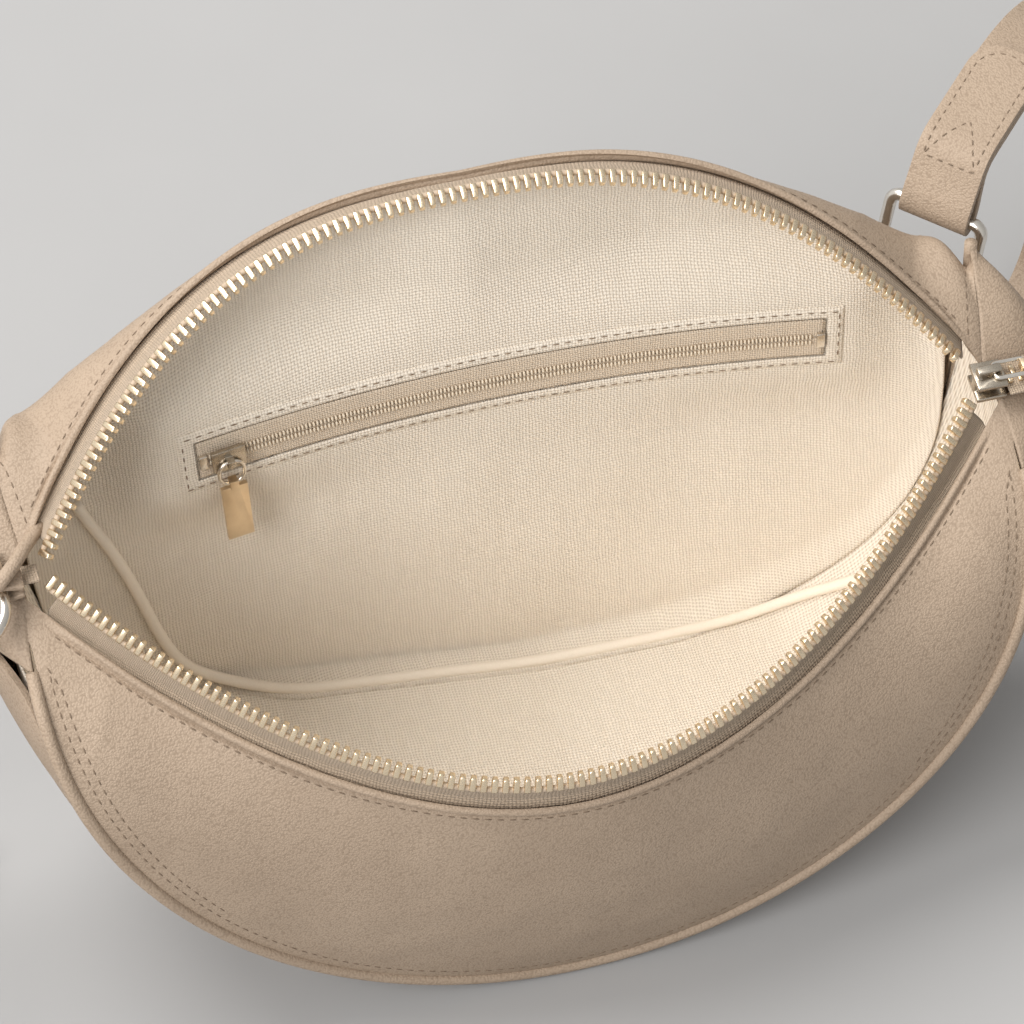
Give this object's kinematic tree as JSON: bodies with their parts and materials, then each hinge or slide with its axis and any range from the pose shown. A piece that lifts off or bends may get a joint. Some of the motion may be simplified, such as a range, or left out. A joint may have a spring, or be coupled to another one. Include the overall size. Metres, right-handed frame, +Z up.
{
  "type": "belt bag",
  "caption": "Half-moon leather belt bag standing open, with a lined compartment, a metal zip round the mouth, a zipped inner pocket, end rings and a buckled waist strap.",
  "frame": {"origin": "on the flat underside of the gusset, midway along the bag, where it stands on the table", "axes": "+Z up, +X to the bag's right as seen from its front, -Y towards the front panel"},
  "size_m": [0.4155, 0.1954, 0.1694],
  "materials": {
    "leather": "pebbled taupe leather",
    "lining": "cream linen weave",
    "tape": "beige twill zip tape",
    "brass": "polished pale brass",
    "nickel": "polished antique nickel",
    "coil": "beige nylon coil"
  },
  "bodies": {
    "bag": {"front_panel": "leather", "back_panel": "leather", "gusset": "leather", "front_piping": "leather", "back_piping": "leather", "right_end_tab": "leather", "right_ring_loop": "leather", "left_ring_loop": "leather", "front_lining": "lining", "back_lining": "lining", "gusset_lining": "lining", "back_lining_welt": "lining", "pocket_welt": "lining", "front_zip_tape": "tape", "back_zip_tape": "tape", "tail_tape": "tape", "head_tape": "tape", "pocket_tape_upper": "tape", "pocket_tape_lower": "tape", "front_zip_teeth": "brass", "back_zip_teeth": "brass", "tail_chain": "brass", "pocket_left_stop": "nickel", "pocket_right_stop": "nickel", "pocket_coil_upper": "coil", "pocket_coil_lower": "coil"},
    "main_slider": {"main_slider": "nickel"},
    "main_pull_link": {"main_pull_link": "nickel"},
    "main_pull": {"main_pull": "brass"},
    "pocket_slider": {"pocket_slider": "nickel"},
    "pocket_pull_link": {"pocket_pull_link": "nickel"},
    "pocket_pull": {"pocket_pull": "brass"},
    "right_ring": {"right_ring": "nickel"},
    "right_strap": {"right_strap": "leather"},
    "left_ring": {"left_ring": "nickel"},
    "left_strap": {"left_strap": "leather"},
    "buckle_frame": {"buckle_frame": "nickel"},
    "buckle_prong": {"buckle_prong": "nickel"},
    "strap_keeper": {"strap_keeper": "leather"}
  },
  "joints": [
    {"name": "main_slider_slide", "type": "slide", "parent": "bag", "child": "main_slider", "axis": [1, 0, 0], "range_m": [0, 0.0055]},
    {"name": "main_pull_link_swing", "type": "hinge", "parent": "main_slider", "child": "main_pull_link", "pos_m": [0.1171, 0.014, 0.12235], "axis": [0, -1, 0], "range_deg": [0, 60]},
    {"name": "main_pull_swing", "type": "hinge", "parent": "main_pull_link", "child": "main_pull", "pos_m": [0.1251, 0.014, 0.12235], "axis": [0, -1, 0], "range_deg": [0, 60]},
    {"name": "pocket_slider_run", "type": "hinge", "parent": "bag", "child": "pocket_slider", "pos_m": [0.008, -0.40906, 0.104], "axis": [0, 0, -1], "range_deg": [0, 17.5]},
    {"name": "pocket_pull_link_swing", "type": "hinge", "parent": "pocket_slider", "child": "pocket_pull_link", "pos_m": [-0.06285, 0.04549, 0.10459], "axis": [-0.9881, -0.154, 0], "range_deg": [0, 60]},
    {"name": "pocket_pull_swing", "type": "hinge", "parent": "pocket_pull_link", "child": "pocket_pull", "pos_m": [-0.0627, 0.04447, 0.09767], "axis": [-0.9881, -0.154, 0], "range_deg": [0, 60]},
    {"name": "right_ring_swing", "type": "hinge", "parent": "bag", "child": "right_ring", "pos_m": [0.11431, 0.05839, 0.10909], "axis": [0.7248, -0.6889, 0], "range_deg": [0, 10]},
    {"name": "right_strap_swing", "type": "hinge", "parent": "right_ring", "child": "right_strap", "pos_m": [0.11822, 0.0625, 0.12617], "axis": [0.7248, -0.6889, 0], "range_deg": [0, 20]},
    {"name": "left_ring_swing", "type": "hinge", "parent": "bag", "child": "left_ring", "pos_m": [-0.12319, 0.012, 0.119], "axis": [0, 1, 0], "range_deg": [0, 15]},
    {"name": "left_strap_swing", "type": "hinge", "parent": "left_ring", "child": "left_strap", "pos_m": [-0.13977, 0.012, 0.11199], "axis": [0, 1, 0], "range_deg": [0, 20]},
    {"name": "buckle_frame_swing", "type": "hinge", "parent": "left_strap", "child": "buckle_frame", "pos_m": [-0.16337, 0.012, 0.0055], "axis": [0, -1, 0], "range_deg": [0, 25]},
    {"name": "buckle_prong_swing", "type": "hinge", "parent": "buckle_frame", "child": "buckle_prong", "pos_m": [-0.16337, 0.012, 0.0055], "axis": [0, -1, 0], "range_deg": [0, 40]},
    {"name": "strap_keeper_slide", "type": "slide", "parent": "left_strap", "child": "strap_keeper", "axis": [-1, 0, 0], "range_m": [0, 0.008]}
  ]
}
